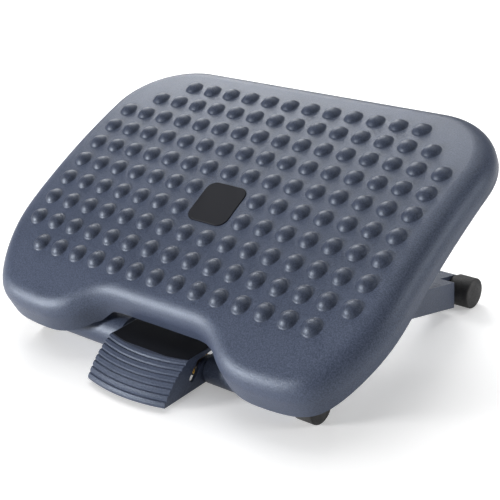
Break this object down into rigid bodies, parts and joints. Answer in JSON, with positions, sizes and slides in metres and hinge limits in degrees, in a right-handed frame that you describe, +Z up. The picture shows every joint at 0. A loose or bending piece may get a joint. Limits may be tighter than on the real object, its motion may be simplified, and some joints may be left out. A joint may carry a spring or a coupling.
{
  "type": "tilting footrest",
  "caption": "Tilting under-desk footrest with a domed deck, a foot pedal that frees the tilt, and a bar base with rubber caps.",
  "frame": {"origin": "middle of the box's bottom face, on the floor", "axes": "+X to the sitter's right along the bars, +Y from the pedal to the high back of the deck, +Z up"},
  "size_m": [0.4522, 0.3394, 0.1998],
  "materials": {
    "slate_plastic": "fine grained moulded plastic",
    "black_plate": "satin plate",
    "black_rubber": "matt rubber",
    "zinc_steel": "zinc plated",
    "pale_nylon": "moulded nylon",
    "grey_nylon": "moulded nylon",
    "friction_pad": "friction lining",
    "golden_wire": "yellow zinc plated wire"
  },
  "bodies": {
    "base": {"right_side_frame": "slate_plastic", "left_side_frame": "slate_plastic", "right_arm_lid": "slate_plastic", "left_arm_lid": "slate_plastic", "hub_bushes": "pale_nylon", "front_core": "zinc_steel", "rear_core": "zinc_steel", "right_front_sleeve": "slate_plastic", "left_front_sleeve": "slate_plastic", "rear_sleeve": "slate_plastic", "front_caps": "black_rubber", "rear_caps": "black_rubber", "lock_post": "grey_nylon", "lever_pin": "zinc_steel", "lever_spring": "zinc_steel", "spring_collar": "grey_nylon", "pedal_spring": "golden_wire"},
    "deck": {"platform": "slate_plastic", "badge_plate": "black_plate", "hinge_brackets": "zinc_steel", "deck_screws": "zinc_steel", "pivot_pins": "zinc_steel", "pin_clips": "zinc_steel", "brake_quadrant": "zinc_steel"},
    "treadle": {"pedal": "slate_plastic", "pedal_label": "black_plate", "pedal_bushes": "pale_nylon"},
    "brake": {"brake_lever": "zinc_steel", "brake_pad": "friction_pad"}
  },
  "joints": [
    {"name": "platform_tilt", "type": "hinge", "parent": "base", "child": "deck", "pos_m": [0, -0.0797, 0.078], "axis": [1, 0, 0], "range_deg": [-26, 0]},
    {"name": "pedal_press", "type": "hinge", "parent": "base", "child": "treadle", "pos_m": [0, -0.0997, 0.015], "axis": [1, 0, 0], "range_deg": [0, 3.6], "stiffness_Nm_per_rad": 1.2, "springref_deg": -17.19, "deforming": ["pedal_spring"]},
    {"name": "lever_release", "type": "hinge", "parent": "base", "child": "brake", "pos_m": [0, -0.0597, 0.033], "axis": [1, 0, 0], "range_deg": [0, 10.8], "stiffness_Nm_per_rad": 0.1, "springref_deg": -11.46, "deforming": ["lever_spring"]}
  ],
  "couplings": [
    {"joint": "lever_release", "follows": "pedal_press", "ratio": 3}
  ]
}
